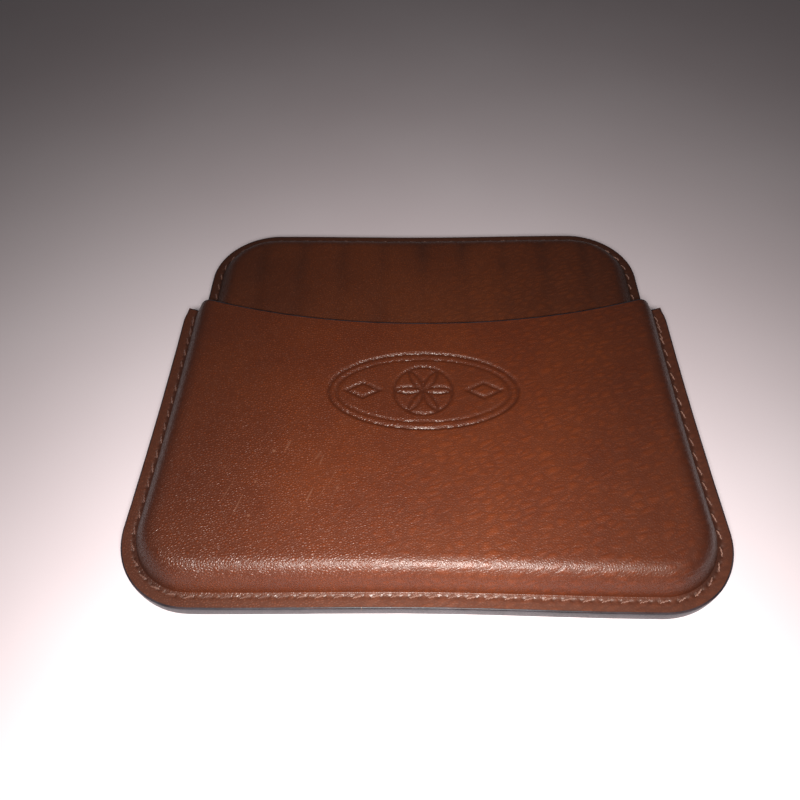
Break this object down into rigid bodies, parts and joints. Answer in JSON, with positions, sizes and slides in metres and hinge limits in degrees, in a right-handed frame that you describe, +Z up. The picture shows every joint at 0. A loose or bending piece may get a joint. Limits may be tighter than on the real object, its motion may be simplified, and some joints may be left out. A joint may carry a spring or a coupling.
{
  "type": "card holder",
  "caption": "Slip case for cards in moulded brown leather: a domed sleeve with a scooped mouth, and a ribbed inner pouch that slides out of it, both stitched round a flat flange.",
  "frame": {"origin": "centre of the underside, with the case closed and lying on its back", "axes": "+X across the case, +Y from the sleeve's closed end towards the pouch's closed end, the way the pouch slides out, +Z up out of the front"},
  "size_m": [0.102, 0.0874, 0.012],
  "materials": {
    "sleeve_leather": "semi-gloss pebbled grain, burnished dark edges",
    "pouch_leather": "satin pebbled grain",
    "lining": "matt suede-like skiver",
    "thread": "waxed twisted thread"
  },
  "bodies": {
    "sleeve": {"sleeve_front_panel": "sleeve_leather", "sleeve_back_panel": "sleeve_leather", "sleeve_front_lining": "lining", "sleeve_back_lining": "lining", "sleeve_front_thread": "thread", "sleeve_back_thread": "thread"},
    "pouch": {"pouch_front_panel": "pouch_leather", "pouch_back_panel": "pouch_leather", "pouch_front_lining": "lining", "pouch_back_lining": "lining", "pouch_front_thread": "thread", "pouch_back_thread": "thread"}
  },
  "joints": [
    {"name": "pouch_slide", "type": "slide", "parent": "sleeve", "child": "pouch", "axis": [0, 1, 0], "range_m": [0, 0.056]}
  ]
}
